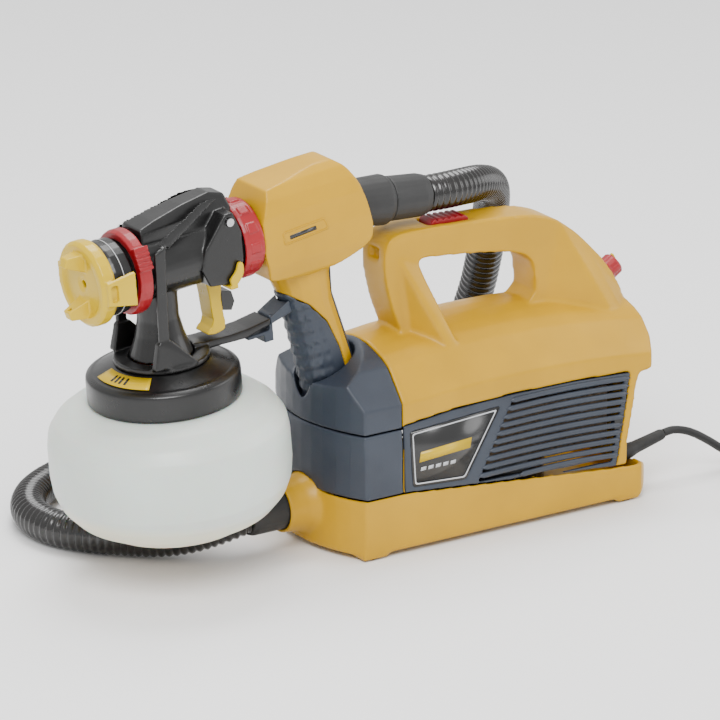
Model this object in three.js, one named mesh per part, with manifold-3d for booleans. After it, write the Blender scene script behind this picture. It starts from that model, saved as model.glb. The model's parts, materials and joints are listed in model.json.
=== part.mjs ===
// Turbine paint sprayer: a floor-standing turbine unit with a docked spray gun, an air hose and a mains lead.
// Millimetres, +Z up, +X from the nozzle towards the rear of the unit, origin under the middle of the object.
import * as THREE from "three";
import { ConvexGeometry } from "three/addons/geometries/ConvexGeometry.js";
import { mergeVertices } from "three/addons/utils/BufferGeometryUtils.js";
import Module from "manifold-3d";

const wasm = await Module();
wasm.setup();

// ---------------------------------------------------------------- driving dimensions
const GAP = 0.35; // clearance between touching pieces
const WALL = 3; // thickness of the moulded shells
const CENTRE_X = 23.2; // middle of the object's length, measured from the unit's front corners

const UNIT_HALF_WIDTH = 60;
const UNIT_REAR = 256; // rear edge of the upper housing's overhang
const TUB_BOTTOM = 4;
const TUB_TOP = 46; // tub's rim at the front
const TUB_TOP_REAR = 28.5;
const TUB_REAR = 249;
const HOLDER_REAR = 31; // where the grey holder meets the upper housing
const HOLDER_JOINT = 95; // level of the joint between the holder's two halves
const DOME_TOP = 148;
const CROWN = 6.5; // rise of the upper housing at mid length
const BOW = 17; // how far the front bulges forward

const SPOUT_Z = 31.5; // height of the hose socket
const SPOUT_X = -38; // mouth of the hose socket
const HOSE_OD = 27;
const CUFF_R = 15.5;

const GUN_X = -59; // middle of the locking ring
const GUN_Z = 242.5;
const GUN_PITCH = THREE.MathUtils.degToRad(5.03);
const GRIP_LEAN = THREE.MathUtils.degToRad(15.8);
const GRIP_FOOT = new THREE.Vector3(1.7, 0, 138); // grip's axis at the socket's mouth
const TAIL_DROOP = THREE.MathUtils.degToRad(4);
const TAIL_LENGTH = 68; // swivel and cuff behind the gun
const BARREL_R = 24.5;
const CUP_X = -82; // cup's axis along the barrel
const CUP_R = 86;
const LID_R = 55;

const LEAD_D = 6;
const LEAD_COIL = new THREE.Vector3(357, -86, 0);

// ---------------------------------------------------------------- materials
function plastic(color, roughness = 0.4, metalness = 0) {
  return new THREE.MeshStandardMaterial({ color, roughness, metalness });
}
const yellow = () => plastic(0xe9b824, 0.35);
const lemon = () => plastic(0xf4cc10, 0.32);
const slate = () => plastic(0x454d57, 0.5);
const black = () => plastic(0x1d1d1f, 0.4);
const red = () => plastic(0xa81c28, 0.35);
const milky = () => plastic(0xe4e4e0, 0.3);
const rubber = () => plastic(0x161616, 0.8);
const steel = () => plastic(0xb4b6b8, 0.3, 1);
const foam = () => plastic(0x7a7468, 0.95);
const board = () => plastic(0x1f5a38, 0.6);

// ---------------------------------------------------------------- solids
function manifoldOf(geometry) {
  const bare = geometry.clone();
  for (const name of ["normal", "uv"]) bare.deleteAttribute(name);
  const merged = mergeVertices(bare, 1e-4);
  const triVerts = new Uint32Array(merged.index.array);
  const vertProperties = merged.attributes.position.array;
  const made = new wasm.Manifold(new wasm.Mesh({ numProp: 3, vertProperties, triVerts }));
  if (made.volume() > 0) return made;
  const flipped = triVerts.slice().reverse();
  return new wasm.Manifold(new wasm.Mesh({ numProp: 3, vertProperties, triVerts: flipped }));
}

function geometryOf(solid) {
  const mesh = solid.getMesh();
  const geometry = new THREE.BufferGeometry();
  geometry.setAttribute("position", new THREE.BufferAttribute(mesh.vertProperties, 3));
  geometry.setIndex(new THREE.BufferAttribute(mesh.triVerts, 1));
  return geometry;
}

// A closed outline of [a, b] pairs extruded along an axis: x takes [y, z], y takes [x, z], z takes [x, y].
const EXTRUDE_BASIS = {
  x: [[0, 1, 0], [0, 0, 1], [1, 0, 0]],
  y: [[1, 0, 0], [0, 0, 1], [0, -1, 0]],
  z: [[1, 0, 0], [0, 1, 0], [0, 0, 1]],
};
function plate(outline, axis, from, to) {
  const shape = new THREE.Shape(outline.map(([a, b]) => new THREE.Vector2(a, b)));
  const flat = new THREE.ExtrudeGeometry(shape, { depth: to - from, bevelEnabled: false });
  const basis = EXTRUDE_BASIS[axis].map((v) => new THREE.Vector3(...v));
  flat.translate(0, 0, axis === "y" ? -to : from);
  flat.applyMatrix4(new THREE.Matrix4().makeBasis(...basis));
  return manifoldOf(flat);
}

function block([x0, y0, z0], [x1, y1, z1]) {
  const box = new THREE.BoxGeometry(x1 - x0, y1 - y0, z1 - z0);
  return manifoldOf(box.translate((x0 + x1) / 2, (y0 + y1) / 2, (z0 + z1) / 2));
}

// A profile of [radius, height] pairs turned about the Z axis, or about the X axis with height along +X.
function turned(profile, segments = 32, axis = "z") {
  const points = profile.map(([r, h]) => new THREE.Vector2(r, h));
  const lathe = new THREE.LatheGeometry(points, segments);
  lathe.rotateX(Math.PI / 2);
  if (axis === "x") lathe.rotateY(Math.PI / 2);
  return manifoldOf(lathe);
}

function rod(radius, from, to, segments = 24, axis = "z") {
  return turned([[0, from], [radius, from], [radius, to], [0, to]], segments, axis);
}

function ring(inner, outer, from, to, segments = 32, axis = "z") {
  const profile = [[inner, from], [outer, from], [outer, to], [inner, to], [inner, from]];
  return turned(profile, segments, axis);
}

function hull(points) {
  return manifoldOf(new ConvexGeometry(points.map((p) => new THREE.Vector3(...p))));
}

function tube(points, radius, sides, steps) {
  const path = new THREE.CatmullRomCurve3(points.map((p) => new THREE.Vector3(...p)));
  const section = new THREE.Shape();
  for (let i = 0; i < sides; i += 1) {
    const angle = (2 * Math.PI * i) / sides;
    const corner = [radius * Math.cos(angle), radius * Math.sin(angle)];
    if (i) section.lineTo(...corner);
    else section.moveTo(...corner);
  }
  return manifoldOf(new THREE.ExtrudeGeometry(section, { steps, extrudePath: path }));
}

// Rings of [x, y, z] points, all with the same count, joined into a closed solid.
function loft(rings, capAxes = [1, 2]) {
  const count = rings[0].length;
  const index = [];
  rings.slice(1).forEach((_, r) => {
    for (let i = 0; i < count; i += 1) {
      const a = r * count + i;
      const b = r * count + ((i + 1) % count);
      index.push(a, b, b + count, a, b + count, a + count);
    }
  });
  const last = (rings.length - 1) * count;
  const flat = rings[0].map((p) => new THREE.Vector2(p[capAxes[0]], p[capAxes[1]]));
  for (const [a, b, c] of THREE.ShapeUtils.triangulateShape(flat, [])) {
    index.push(c, b, a, last + a, last + b, last + c);
  }
  const geometry = new THREE.BufferGeometry();
  geometry.setAttribute("position", new THREE.Float32BufferAttribute(rings.flat(2), 3));
  geometry.setIndex(index);
  return manifoldOf(geometry);
}

function union(...solids) {
  return solids.reduce((whole, piece) => whole.add(piece));
}

function oval(halfX, halfY, from, to, segments = 32) {
  const geometry = new THREE.CylinderGeometry(1, 1, to - from, segments).rotateX(Math.PI / 2);
  return manifoldOf(geometry.scale(halfX, halfY, 1).translate(0, 0, (from + to) / 2));
}

function rounded(outline, steps = 3) {
  // Each corner of the outline is replaced by a short arc that starts a third of the way along its edges.
  const count = outline.length;
  const points = [];
  outline.forEach((corner, i) => {
    const p = new THREE.Vector2(...corner);
    const before = new THREE.Vector2(...outline[(i + count - 1) % count]).lerp(p, 2 / 3);
    const after = new THREE.Vector2(...outline[(i + 1) % count]).lerp(p, 2 / 3);
    const curve = new THREE.QuadraticBezierCurve(before, p, after);
    for (const q of curve.getPoints(steps)) points.push([q.x, q.y]);
  });
  return points;
}

// ---------------------------------------------------------------- scene graph
const sprayer = new THREE.Group();
sprayer.position.x = -CENTRE_X;
const gun = new THREE.Group();
gun.position.set(GUN_X, 0, GUN_Z);
gun.rotation.y = -GUN_PITCH;
const grip = new THREE.Group();
grip.position.copy(GRIP_FOOT);
grip.rotation.y = -GRIP_LEAN;
const tail = new THREE.Group();
tail.position.set(20, 0, 249.3);
tail.rotation.y = TAIL_DROOP;
sprayer.add(gun, grip, tail);

function piece(name, solid, material, parent = sprayer) {
  const mesh = new THREE.Mesh(geometryOf(solid), material);
  mesh.name = name;
  parent.add(mesh);
}

// A solid of one group's frame seen from another group's frame.
function seenFrom(solid, owner, viewer) {
  for (const group of [owner, viewer]) group.updateMatrix();
  const toParent = owner === sprayer ? new THREE.Matrix4() : owner.matrix;
  const toViewer = viewer === sprayer ? new THREE.Matrix4() : viewer.matrix.clone().invert();
  return solid.transform(new THREE.Matrix4().multiplyMatrices(toViewer, toParent).elements);
}

const mirrored = (solid) => solid.mirror([0, 1, 0]);

// ---------------------------------------------------------------- the unit's outer form
const SECTION = [[60, 3.5], [59.5, 46], [57.5, 113], [53, 119], [46, 127.5], [39, 136], [30, 141],
  [20, 144.5],
  [10, 147]];
const STATIONS = [-30, 0, 31, 60, 95, 128, 160, 195, 230, 262];

function crown(x) {
  return x < HOLDER_REAR ? 0 : CROWN * (1 - ((x - 128) / 97) ** 2);
}

// The unit's whole cross-section as [y, z] pairs, grown by a distance (or shrunk, if negative).
function sectionOutline(growth) {
  const half = SECTION.map(([y, z]) => [
    y * (1 + growth / UNIT_HALF_WIDTH),
    z > TUB_TOP ? z + (growth * z) / DOME_TOP : z,
  ]);
  const other = half.map(([y, z]) => [-y, z]).reverse();
  return [...half, [0, DOME_TOP + growth], ...other];
}

// The cross-section lofted along the unit with its crown.
function unitForm(growth) {
  const round = sectionOutline(growth);
  const lifted = (x, z) => (z > TUB_TOP ? z + (crown(x) * (z - TUB_TOP)) / (DOME_TOP - TUB_TOP) : z);
  return loft(STATIONS.map((x) => round.map(([y, z]) => [x, y, lifted(x, z)])));
}

// The plan of the front: two corners with a bow between them, set back by an inset.
function frontPlan(inset, rear) {
  const bow = [];
  for (let i = -5; i <= 5; i += 1) {
    const y = (i / 5) * (UNIT_HALF_WIDTH - 1);
    bow.push([inset - BOW * (1 - (y / UNIT_HALF_WIDTH) ** 2), y]);
  }
  return [[rear, -70], [inset, -70], ...bow, [inset, 70], [rear, 70]];
}

const outerForm = unitForm(0);
const innerForm = unitForm(-WALL);

// ---------------------------------------------------------------- base tub
function spoutForm(growth) {
  const profile = [[0, 0], [18, 0], [18.6, 8], [20, 16], [23.5, 24], [29, 32], [29, 40], [0, 40]];
  const grown = profile.map(([r, h]) => [r ? r + growth : 0, h ? h : -growth]);
  return turned(grown, 30, "x").translate(SPOUT_X, 0, SPOUT_Z);
}

const aboveFloor = block([-60, -80, TUB_BOTTOM + 0.5], [300, 80, 200]);
const tubSide = [[-30, TUB_BOTTOM], [TUB_REAR - 4, TUB_BOTTOM], [TUB_REAR, 8], [TUB_REAR, 24], [243, 27],
  [217, TUB_TOP_REAR], [HOLDER_REAR + 1, TUB_TOP], [-30, TUB_TOP]];

function tubPlan(inset) {
  const side = UNIT_HALF_WIDTH - inset;
  const front = frontPlan(inset, 200).slice(1, -1).filter(([, y]) => Math.abs(y) < 70)
    .map(([x, y]) => [x, Math.sign(y) * Math.min(Math.abs(y), side)]);
  const rear = TUB_REAR - inset;
  const corners = [[rear - 9, side], [rear, side - 9], [rear, 9 - side], [rear - 9, -side]];
  return [...front, [20, side], ...corners, [20, -side]];
}

function baseTub() {
  const outer = plate(tubSide, "y", -70, 70).intersect(plate(tubPlan(0), "z", 0, 60)).intersect(outerForm);
  const inner = plate(tubPlan(WALL), "z", TUB_BOTTOM + WALL, 80);
  const foot = [[0, 6], [0, 1.4], [20, 1.4], [25, 6]];
  const feet = [];
  for (const [x, turn] of [[-2, 1], [240, -1]]) {
    const outline = foot.map(([a, b]) => [x + turn * a, b]);
    feet.push(plate(outline, "y", -59, -36), plate(outline, "y", 36, 59));
  }
  const spout = spoutForm(0).intersect(aboveFloor).intersect(block([-60, -40, 0], [-6, 40, 70]));
  const glandHole = rod(6.2, -20, 30, 20, "x").rotate([0, -12.7, 0]).translate(246, -35, 28.5);
  const body = union(outer.subtract(inner), spout, ...feet);
  const bore = rod(CUFF_R + GAP, SPOUT_X - 5, 20, 32, "x").translate(0, 0, SPOUT_Z);
  return body.subtract(bore).subtract(glandHole);
}
piece("base_tub", baseTub(), yellow());

for (const [i, x] of [[0, 8], [2, 230]]) {
  [-48, 48].forEach((y, side) => {
    const pad = rod(8, 0, 1.1, 20).translate(x, y, 0);
    piece(`rubber_foot_${i + side + 1}`, pad, rubber());
  });
}

// ---------------------------------------------------------------- grip holder
const holderRoof = [[-40, 116], [-17, 125], [HOLDER_REAR, 149], [40, 160], [40, 40], [-40, 40]];

function holderShell() {
  const roof = plate(holderRoof, "y", -70, 70);
  const front = plate(frontPlan(0, HOLDER_REAR), "z", 0, 200);
  const inside = plate(frontPlan(WALL, HOLDER_REAR + 5), "z", 0, 200);
  const outer = outerForm.intersect(front).intersect(roof);
  return { outer, inner: innerForm.intersect(inside).intersect(roof.translate([0, 0, -WALL])) };
}

function holderParts() {
  const { outer, inner } = holderShell();
  const shell = outer.subtract(inner);
  const lower = shell.intersect(block([-60, -70, TUB_TOP + GAP], [HOLDER_REAR, 70, HOLDER_JOINT - 0.5]));
  const upper = shell.intersect(block([-60, -70, HOLDER_JOINT + 0.2], [HOLDER_REAR, 70, 200]));
  const well = seenFrom(oval(27.5, 23, -52, 30), grip, sprayer);
  const bore = seenFrom(oval(24.5, 20, -49, 40), grip, sprayer);
  const wellInside = well.intersect(outer).intersect(block([-60, -70, 60], [HOLDER_REAR - 1, 70, 200]));
  return {
    lower: lower.subtract(spoutForm(GAP)).subtract(well),
    upper: upper.add(wellInside).subtract(bore),
  };
}
const holder = holderParts();
piece("holder_front", holder.lower, slate());
piece("holder_top", holder.upper, slate());

// ---------------------------------------------------------------- upper housing
const PANEL = [[32.6, 46.4], [32, 96.4], [75, 100.6], [125, 102.2], [180, 101.6], [231, 98.9], [218, 29.6]];
const housingSide = [[HOLDER_REAR + GAP, TUB_TOP + GAP + 0.1], [217, TUB_TOP_REAR + 0.6], [228, 28.7],
  [228.5, 48],
  [237, 89], [240, 97], [UNIT_REAR, 98], [UNIT_REAR + 0.5, 112], [UNIT_REAR - 2, 160],
  [HOLDER_REAR + GAP, 160]];

function upperHousing() {
  const side = plate(housingSide, "y", -70, 70);
  const rearBow = plate([[0, -70], [244, -70], [255, -48], [257, 0], [255, 48], [244, 70], [0, 70]],
    "z", 0, 200);
  const outer = outerForm.intersect(side).intersect(rearBow);
  const inside = block([0, -70, 0], [224, 70, 200]).add(
    plate([[200, 50], [225.5, 50], [234, 90], [236, 100], [252, 101], [251, 140], [200, 140]],
      "y", -70, 70));
  const windows = plate(PANEL, "y", -70, 70).subtract(block([0, -50, 0], [300, 50, 200]));
  return outer.subtract(innerForm.intersect(inside)).subtract(windows);
}
piece("upper_housing", upperHousing(), yellow());

// ---------------------------------------------------------------- vent panels
const RIBS = 11;
function lerp(a, b, t) {
  return a + (b - a) * t;
}
function grown(outline, distance) {
  const middle = outline.reduce(([a, b], [c, d]) => [a + c / outline.length, b + d / outline.length],
    [0, 0]);
  const away = (value, centre) => value + Math.sign(value - centre) * distance;
  return outline.map(([a, b]) => [away(a, middle[0]), away(b, middle[1])]);
}

// The unit's straight side between two depths below its surface.
function sideSkin(depth, thickness) {
  const outer = plate(sectionOutline(-depth), "x", 0, 260);
  return outer.subtract(plate(sectionOutline(-depth - thickness), "x", -1, 261));
}

function ventPanel() {
  const skin = sideSkin(0, WALL).intersect(plate(grown(PANEL, -GAP), "y", -70, -50));
  const slots = [];
  for (let i = 0; i < RIBS; i += 1) {
    const t = (i + 0.55) / RIBS;
    const [x0, z0] = [lerp(127, 92, t), lerp(98, 35, t)];
    const [x1, z1] = [lerp(226, 214, t), lerp(95, 33, t)];
    slots.push([[x0, z0 - 1.5], [x1, z1 - 1.5], [x1, z1 + 1.5], [x0, z0 + 1.5]]);
  }
  const cuts = slots.map((slot) => plate(slot, "y", -70, -40));
  const labelSeat = plate(grown(LABEL, GAP), "y", -70, -50).subtract(plate(sectionOutline(-1.2), "x", 0, 260));
  const catchSeat = block([215, -70, 58], [222, -40, 67]);
  return [...cuts, labelSeat, catchSeat].reduce((panel, cut) => panel.subtract(cut), skin);
}
const LABEL = [[39.5, 49.5], [37.5, 91], [116, 95.5], [85, 46.5]];

function labelPlate() {
  return sideSkin(0.1, 1).intersect(plate(LABEL, "y", -70, -50));
}

const sides = { near: (s) => s, far: mirrored };
const panelSolid = ventPanel();
const labelSolid = labelPlate();
const filterSolid = block([100, -55.4, 50], [212, -47, 92]);
const catchSolid = block([215.4, -60, 58.4], [221.6, -54.5, 66.6]);
for (const [side, place] of Object.entries(sides)) {
  piece(`vent_panel_${side}`, place(panelSolid), slate());
  piece(`label_plate_${side}`, place(labelSolid), black());
  piece(`air_filter_${side}`, place(filterSolid.intersect(unitForm(-WALL - GAP))), foam());
  piece(`panel_catch_${side}`, place(catchSolid), black());
}

// ---------------------------------------------------------------- carry handle
const HANDLE_SIDE = [[62, 138], [59, 150], [51, 170], [45.5, 192], [44.5, 208], [47, 218], [54, 223.6],
  [70, 224.6],
  [110, 223], [150, 220], [176, 217], [194, 211], [215, 195.5], [236, 173.5], [248, 157], [256, 140],
  [256, 108]];
const HANDLE_OPENING = [[91, 149], [90, 164], [82, 183], [73, 200], [80, 202], [128, 197], [158, 192],
  [171, 186],
  [176, 177], [177, 149]];
const HANDLE_HALF = 15;
const DIAL_AXIS_TILT = 58; // degrees from vertical, leaning to the rear
const DIAL_SEAT = [246.5, 0, 155.5];

function handleFlare(profile) {
  return union(hull(profile), hull(profile.map(([x, y, z]) => [x, -y, z])));
}

function atDial(solid) {
  return solid.rotate([0, DIAL_AXIS_TILT, 0]).translate(DIAL_SEAT);
}

function carryHandle() {
  const bar = plate(rounded(HANDLE_SIDE, 2), "y", -HANDLE_HALF, HANDLE_HALF);
  const opening = plate(rounded(HANDLE_OPENING, 2), "y", -30, 30);
  const front = handleFlare([[55, -14, 209], [72, -14, 203], [62, -6, 140], [88, -43, 130], [97, -43, 130],
    [93, -12, 140], [58, 0, 205], [70, 0, 200], [66, 0, 140], [92, 0, 140]]);
  const rear = handleFlare([[196, -14, 210], [180, -13, 150], [240, -38, 120], [255.5, -39, 108],
    [250, -14, 152],
    [215, -14, 195], [182, 0, 140], [255.5, 0, 108], [250, 0, 152], [196, 0, 206]]);
  const body = union(bar.subtract(opening), front, rear.subtract(opening));
  const switchSlot = block([87, -8.6, 219.6], [127, 8.6, 240]);
  const hook = block([36, -6, 204], [50, 6, 212]);
  const dialSeat = atDial(rod(11, 0, 40, 28));
  return body.subtract(unitForm(GAP)).subtract(switchSlot).subtract(hook).subtract(dialSeat);
}
piece("carry_handle", carryHandle(), yellow());

function powerSwitch() {
  const grooves = [];
  for (let i = 0; i < 5; i += 1) {
    const x = 94 + i * 5.2;
    grooves.push(block([x, -9, 224.9], [x + 2.2, 9, 230]));
  }
  const top = [[89, 220], [90.5, 225], [93, 226.6], [119, 225.4], [121.5, 223.5], [122.5, 220]];
  return grooves.reduce((s, g) => s.subtract(g), plate(top, "y", -8, 8));
}
piece("power_switch", powerSwitch(), red());

function powerDial() {
  const knob = turned([[0, 0.5], [10.5, 0.5], [10.5, 3], [8.6, 4.2], [8.6, 11.5], [7.2, 13], [0, 13]], 28);
  const flutes = [];
  for (let i = 0; i < 8; i += 1) {
    flutes.push(rod(1.3, 4.5, 14, 8).translate(9.2, 0, 0).rotate([0, 0, i * 45 + 22.5]));
  }
  return atDial(flutes.reduce((s, f) => s.subtract(f), knob));
}
piece("power_dial", powerDial(), red());

function dialPointer() {
  const arrow = [[-7, -1.4], [7, 0], [-7, 1.4]];
  return atDial(hull([13.3, 14.6].flatMap((z) => arrow.map(([x, y]) => [x, y, z]))));
}
piece("dial_pointer", dialPointer(), lemon());

// ---------------------------------------------------------------- inside the unit
const TURBINE_X = 138;
function inside() {
  const casing = turned([[18, 14], [47, 14], [47, 46], [30, 46], [30, 43], [44, 43], [44, 17], [18, 17],
    [18, 14]], 28);
  const port = rod(14, -60, 0, 20, "x").translate(0, 0, 30);
  piece("turbine_casing", casing.subtract(port).translate(TURBINE_X, 0, 0), black());
  const blades = [];
  for (let i = 0; i < 9; i += 1) {
    blades.push(block([11, -0.8, 24], [39, 0.8, 38]).rotate([0, 0, i * 40]));
  }
  const disc = rod(39, 21, 24, 28).subtract(rod(4.2, 20, 30, 16));
  const wheel = union(ring(4.2, 12, 22, 40, 16), disc, ...blades);
  piece("impeller", wheel.translate(TURBINE_X, 0, 0), plastic(0xb9bdc2, 0.35, 0.9));
  piece("motor", ring(4.6, 33, 49, 112, 24).translate(TURBINE_X, 0, 0), plastic(0x6d5a45, 0.5, 0.5));
  piece("motor_shaft", rod(4.0, 20, 118, 16).translate(TURBINE_X, 0, 0), steel());
  const duct = ring(13.2, 15.2, -8, TURBINE_X - 49, 24, "x").translate(0, 0, SPOUT_Z);
  piece("outlet_duct", duct, black());
  piece("circuit_board", block([186, -30, 74], [216, 30, 76]), board());
}
inside();

// ---------------------------------------------------------------- hose
const TAIL_END = {
  x: tail.position.x + (TAIL_LENGTH + GAP) * Math.cos(TAIL_DROOP),
  z: tail.position.z - (TAIL_LENGTH + GAP) * Math.sin(TAIL_DROOP),
};
const HOSE = [
  [-66.6, 0, 31.5], [-76, 2, 28.6], [-87, 8, 24], [-101, 19, 18.2], [-116, 33, 14.6], [-132, 49, 13.8],
  [-150, 68, 13.8], [-165, 96, 13.8], [-164, 130, 13.8],
  [-145, 160, 13.8], [-112, 182, 13.8], [-70, 193, 13.8], [-25, 192, 13.8], [20, 184, 13.8], [64, 173, 13.8],
  [106, 165, 13.8], [150, 161, 18], [188, 152, 38], [210, 136, 72], [216, 120, 110], [213, 102, 150],
  [203, 80, 190],
  [183, 52, 219], [156, 27, 233.5], [130, 10, 240.5], [108, 2, 243.4], [TAIL_END.x, 0, TAIL_END.z]];

function airHose() {
  const socketEnd = rod(20, -28 - GAP, 12, 16, "x").translate(SPOUT_X + 0.4, 0, SPOUT_Z);
  const gunEnd = seenFrom(rod(20, 30, TAIL_LENGTH + GAP, 16, "x"), tail, sprayer);
  return tube(HOSE, HOSE_OD / 2, 8, 46).subtract(socketEnd).subtract(gunEnd);
}
piece("air_hose", airHose(), black());

function hoseCuffs() {
  const socketCuff = turned([[10, -28], [14, -28], [CUFF_R, -24], [CUFF_R, 12], [12.9, 12], [12.9, -22],
    [10, -28]], 24, "x");
  piece("hose_base_cuff", socketCuff.translate(SPOUT_X + 0.4, 0, SPOUT_Z), rubber());
  const swivel = turned([[11, -4], [16.8, -4], [18.6, 31], [16.6, 35], [11, 35], [11, -4]], 24, "x");
  piece("hose_swivel", swivel, plastic(0x2c2c2e, 0.6), tail);
  const end = turned([[11, 35.4], [16.4, 35.4], [15.8, 62], [14.4, TAIL_LENGTH], [11, TAIL_LENGTH],
    [11, 35.4]], 24, "x");
  piece("hose_gun_cuff", end, plastic(0x2c2c2e, 0.6), tail);
}
hoseCuffs();

// ---------------------------------------------------------------- mains lead
const GLAND = new THREE.Group();
GLAND.position.set(238, -35, 27.2);
GLAND.rotation.y = -THREE.MathUtils.degToRad(12.7);
sprayer.add(GLAND);
const glandProfile = [[0, 0], [5.8, 0], [5.8, 9], [4.9, 14], [4.2, 38], [3.6, 40], [0, 40]];
piece("cord_gland", turned(glandProfile, 20, "x"), black(), GLAND);

const LEAD = [
  [277.5, -35, 36.3], [286, -35.3, 37.2], [300, -36.5, 33.5], [316, -38.5, 24], [330, -41, 14],
  [346, -45, 6.5],
  [358, -52, 3.4], [369, -56.4, 3.2]];
piece("mains_lead", tube(LEAD, LEAD_D / 2, 8, 16), black());
const COIL = { inner: 24.5, outer: 43, height: 17 };
piece("mains_coil", ring(COIL.inner, COIL.outer, 0.1, COIL.height, 28).translate(LEAD_COIL.x, LEAD_COIL.y, 0)
  .subtract(tube(LEAD, LEAD_D / 2 + GAP, 8, 16)), black());

function plug() {
  const front = [[0, -12, 0.2], [0, 12, 0.2], [0, -12, 16], [0, 12, 16]];
  const body = hull([...front, [26, -9, 0.2], [26, 9, 0.2], [26, -7, 13], [26, 7, 13]]);
  piece("plug", body.translate(292, -128, 0), black());
  for (const [name, y] of [["plug_blade_live", -6.35], ["plug_blade_neutral", 6.35]]) {
    piece(name, block([275, y - 128 - 0.75, 4.8], [291.6, y - 128 + 0.75, 11.2]), steel());
  }
}
plug();

// ---------------------------------------------------------------- spray gun: rear shell and grip
const REAR_SHELL = [[-5, 34], [20, 37.5], [45, 41.5], [60, 42.3], [68, 39.5], [75, 31], [81, 17],
  [86.5, -6], [87, -15],
  [84, -24], [67, -31], [48, -36], [8, -34], [-5, -29]];
const GRIP_TOP = 82; // along the grip's axis, up inside the rear shell
const GRIP_HALF_WIDTH = 17.6;

function gunSection(halfWidth, z0, z1) {
  // A barrel-like section across the gun: flat cheeks with round top and bottom corners.
  const points = [];
  for (let i = 0; i < 20; i += 1) {
    const a = (2 * Math.PI * i) / 20;
    const squash = (v) => Math.sign(v) * Math.abs(v) ** 0.72;
    points.push([halfWidth * squash(Math.cos(a)), (z0 + z1) / 2 + ((z1 - z0) / 2) * squash(Math.sin(a))]);
  }
  return points;
}

function gripForm(growth) {
  const rings = [];
  for (const [z, halfX, shift] of [[-44, 22.3, 0], [-20, 22, 0], [0, 21.6, 0], [25, 20.6, -0.5],
    [48, 20, -1.5],
    [66, 22.5, 0], [GRIP_TOP, 27, 1]]) {
    const around = [];
    for (let i = 0; i < 18; i += 1) {
      const a = (2 * Math.PI * i) / 18;
      around.push([shift + (halfX + growth) * Math.cos(a), (GRIP_HALF_WIDTH + growth) * Math.sin(a), z]);
    }
    rings.push(around);
  }
  return loft(rings, [0, 1]);
}

const gripWhole = gripForm(0);
const rearSide = plate(rounded(REAR_SHELL, 1), "y", -30, 30);
const rearBody = rearSide.intersect(plate(gunSection(26, -46, 43), "x", -10, 95));
// Boundaries of the soft inserts, seen from the side along the grip: [across, along].
const FRONT_INSERT = [[-60, -60], [6, -60], [8, -20], [7, 10], [2, 34], [-8, 52], [-20, 64], [-60, 72]];
const REAR_INSERT = [[60, -60], [18.4, -60], [17.4, -10], [14.6, 30], [13.6, 52], [16, 66], [22, 76],
  [60, 90]];

function gripParts() {
  const front = plate(FRONT_INSERT, "y", -40, 40);
  const rear = plate(REAR_INSERT, "y", -40, 40);
  const shell = seenFrom(rearBody, gun, grip);
  const core = gripWhole.intersect(block([-60, -40, -46], [60, 40, GRIP_TOP]));
  const skin = core.subtract(gripForm(-4)).subtract(shell);
  const seats = front.add(rear).subtract(shell).subtract(gripForm(-4 - GAP));
  return {
    front: skin.intersect(plate(grown(FRONT_INSERT, -GAP), "y", -40, 40)),
    rear: skin.intersect(plate(grown(REAR_INSERT, -GAP), "y", -40, 40)),
    core: core.subtract(seats),
  };
}
const gripSolids = gripParts();

function rearShell() {
  const air = rod(13, -20, 120, 24, "x");
  const tailBore = rod(16, 58, 120, 24, "x").add(seenFrom(rod(18.2, -5, 60, 32, "x"), tail, gun));
  const handle = seenFrom(gripSolids.core, grip, gun);
  const frontBore = rod(21, -20, 12, 32, "x");
  return rearBody.add(handle).subtract(air).subtract(tailBore).subtract(frontBore);
}
piece("gun_rear_shell", rearShell(), yellow(), gun);
piece("grip_front_insert", gripSolids.front, slate(), grip);
piece("grip_rear_insert", gripSolids.rear, slate(), grip);
piece("hose_stub", ring(12.4, 15.6, 59, 72.5, 24, "x"), black(), gun);

// ---------------------------------------------------------------- spray gun: locking ring and front body
function lockingRing() {
  const band = turned([[25.2, -15.5], [27, -15.5], [28, -13], [28, -1], [27, 0.5], [25.2, 0.5],
    [25.2, -15.5]], 28, "x");
  const symbols = [];
  for (let i = 0; i < 12; i += 1) {
    symbols.push(block([-11.5, -3.6, 27.5], [-4, 3.6, 28.9]).rotate([i * 30, 0, 0]));
  }
  return union(band, ...symbols);
}
piece("locking_ring", lockingRing().translate(-6, 0, 0), red(), gun);

const NECK = [[0, -68], [23, -68], [17.5, -52], [15, -40], [15, -10], [0, -10]];
const FIN = [[-97.8, 31], [-85, 34.5], [-60, 39.5], [-37, 42.5], [-25, 39], [-22.4, 30]];
function frontBody() {
  const barrel = rod(BARREL_R - 1, -98, -22.5, 28, "x");
  const spigot = rod(20.4, -24, 4, 28, "x").add(rod(24.4, -24, -6.5, 28, "x"));
  const neck = turned(NECK, 24).translate(CUP_X, 0, 0);
  const fin = plate([[-97.8, 20], ...FIN, [-22.4, 10]], "y", -12, 12);
  const finTop = plate([[-12.5, 0], [-12.5, 28], [-6.5, 44], [6.5, 44], [12.5, 28], [12.5, 0]],
    "x", -110, -20);
  const cheekSide = [[-58, -6], [-54, 8], [-36, 30], [-29, 30], [-23, 14], [-23, -8], [-36, -22],
    [-52, -20]];
  const cheeks = plate(cheekSide, "y", -25.6, 25.6);
  const airway = rod(11, -120, 20, 20, "x");
  const dip = rod(5, -80, 0, 16).translate(CUP_X, 0, 0);
  const triggerRoom = block([-52, -8.5, -40], [-26, 8.5, -9]);
  const pinHole = rod(1.85, -40, 40, 12).rotate([90, 0, 0]).translate(-33, 0, 24);
  return union(barrel, spigot, neck, fin.intersect(finTop), cheeks).subtract(airway).subtract(dip)
    .subtract(triggerRoom).subtract(pinHole);
}
const frontSolid = frontBody();
piece("front_body", frontSolid, black(), gun);

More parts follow.
